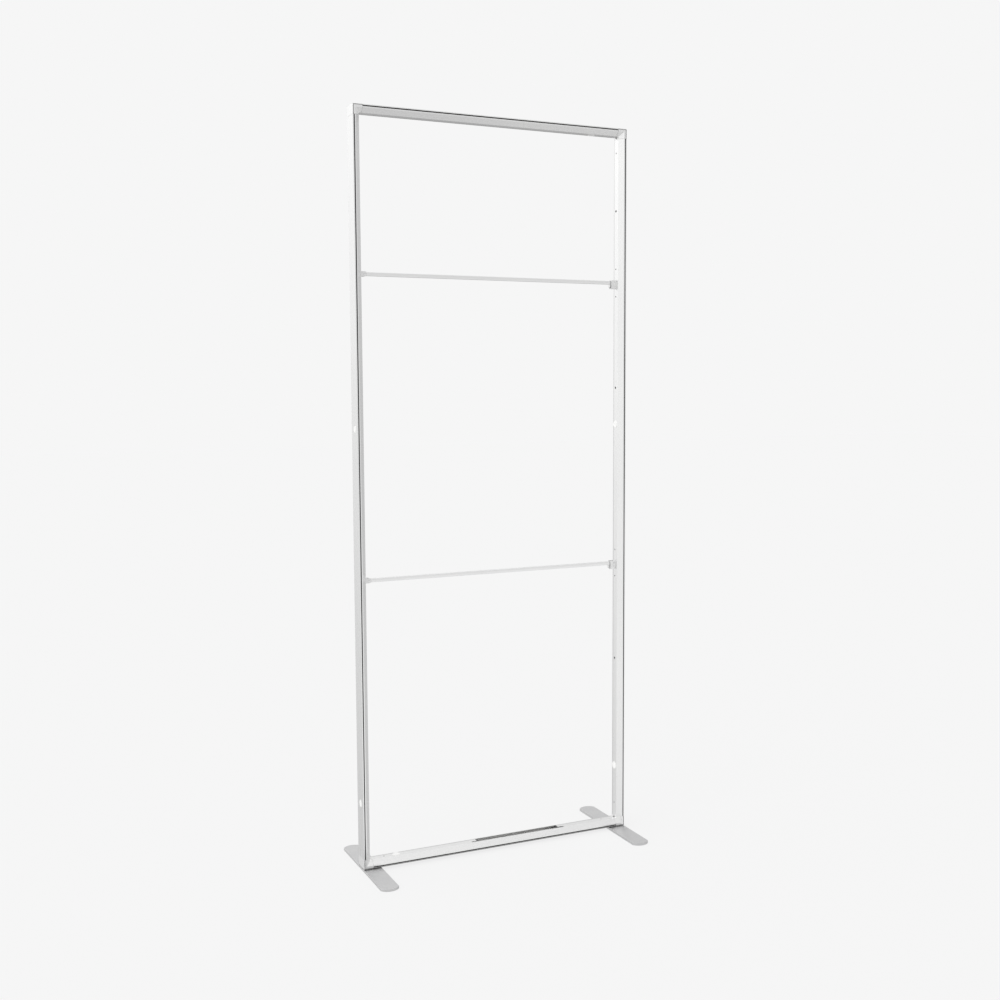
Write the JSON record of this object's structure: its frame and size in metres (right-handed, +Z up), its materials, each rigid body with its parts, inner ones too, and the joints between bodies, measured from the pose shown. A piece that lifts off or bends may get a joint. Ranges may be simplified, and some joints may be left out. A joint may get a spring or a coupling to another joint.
{
  "type": "partition wall frame",
  "caption": "Tall free-standing partition wall frame of aluminium extrusion with corner blocks, hooked crossbars and flat swivelling floor plates, for holding a stretched panel.",
  "frame": {"origin": "on the floor, at the centre of the footprint", "axes": "+X along the wall to the right, +Y to the back, +Z up"},
  "size_m": [1, 0.427, 2.51],
  "materials": {
    "frame_aluminium": "satin natural anodised extrusion",
    "corner_aluminium": "satin anodised machined block",
    "inner_steel": "zinc plated steel angle",
    "screw_steel": "zinc plated, dark socket",
    "foot_steel": "silver grey satin powder coat on steel plate",
    "washer_nylon": "black nylon",
    "bar_aluminium": "satin anodised tube",
    "fitting_aluminium": "satin die-cast fitting",
    "bracket_steel": "fine brushed folded steel",
    "pin_steel": "dark burnished rivet pin",
    "plug_plastic": "white satin plastic"
  },
  "bodies": {
    "frame": {"left_upright": "frame_aluminium", "right_upright": "frame_aluminium", "bottom_rail": "frame_aluminium", "top_rail": "frame_aluminium", "corner_block_bottom_left": "corner_aluminium", "corner_angle_bottom_left": "inner_steel", "lock_screw_bottom_left": "screw_steel", "clamp_screws_bottom_left": "screw_steel", "corner_block_bottom_right": "corner_aluminium", "corner_angle_bottom_right": "inner_steel", "lock_screw_bottom_right": "screw_steel", "clamp_screws_bottom_right": "screw_steel", "corner_block_top_left": "corner_aluminium", "corner_angle_top_left": "inner_steel", "lock_screw_top_left": "screw_steel", "clamp_screws_top_left": "screw_steel", "corner_block_top_right": "corner_aluminium", "corner_angle_top_right": "inner_steel", "lock_screw_top_right": "screw_steel", "clamp_screws_top_right": "screw_steel", "foot_bolt_left": "screw_steel", "foot_washer_left": "washer_nylon", "foot_bolt_right": "screw_steel", "foot_washer_right": "washer_nylon", "clevis_lower": "fitting_aluminium", "hook_bracket_lower": "bracket_steel", "pivot_pin_lower": "pin_steel", "keeper_pins_lower": "pin_steel", "clevis_screw_lower": "screw_steel", "bracket_screws_lower": "screw_steel", "clevis_upper": "fitting_aluminium", "hook_bracket_upper": "bracket_steel", "pivot_pin_upper": "pin_steel", "keeper_pins_upper": "pin_steel", "clevis_screw_upper": "screw_steel", "bracket_screws_upper": "screw_steel", "hole_plugs_left": "plug_plastic", "hole_plugs_right": "plug_plastic", "hole_plug_bottom": "plug_plastic", "hole_plug_top": "plug_plastic"},
    "foot_left": {"foot_left": "foot_steel"},
    "foot_right": {"foot_right": "foot_steel"},
    "crossbar_lower": {"crossbar_lower": "bar_aluminium", "pivot_end_lower": "fitting_aluminium", "hook_end_lower": "fitting_aluminium"},
    "crossbar_upper": {"crossbar_upper": "bar_aluminium", "pivot_end_upper": "fitting_aluminium", "hook_end_upper": "fitting_aluminium"}
  },
  "joints": [
    {"name": "foot_left_swivel", "type": "hinge", "parent": "frame", "child": "foot_left", "pos_m": [-0.4835, 0, 0.004], "axis": [0, 0, 1], "range_deg": [-90, 90]},
    {"name": "foot_right_swivel", "type": "hinge", "parent": "frame", "child": "foot_right", "pos_m": [0.4835, 0, 0.004], "axis": [0, 0, 1], "range_deg": [-90, 90]},
    {"name": "crossbar_lower_pivot", "type": "hinge", "parent": "frame", "child": "crossbar_lower", "pos_m": [-0.461, 0, 0.98], "axis": [0, -1, 0], "range_deg": [0, 90]},
    {"name": "crossbar_upper_pivot", "type": "hinge", "parent": "frame", "child": "crossbar_upper", "pos_m": [-0.461, 0, 1.98], "axis": [0, -1, 0], "range_deg": [0, 32]}
  ]
}
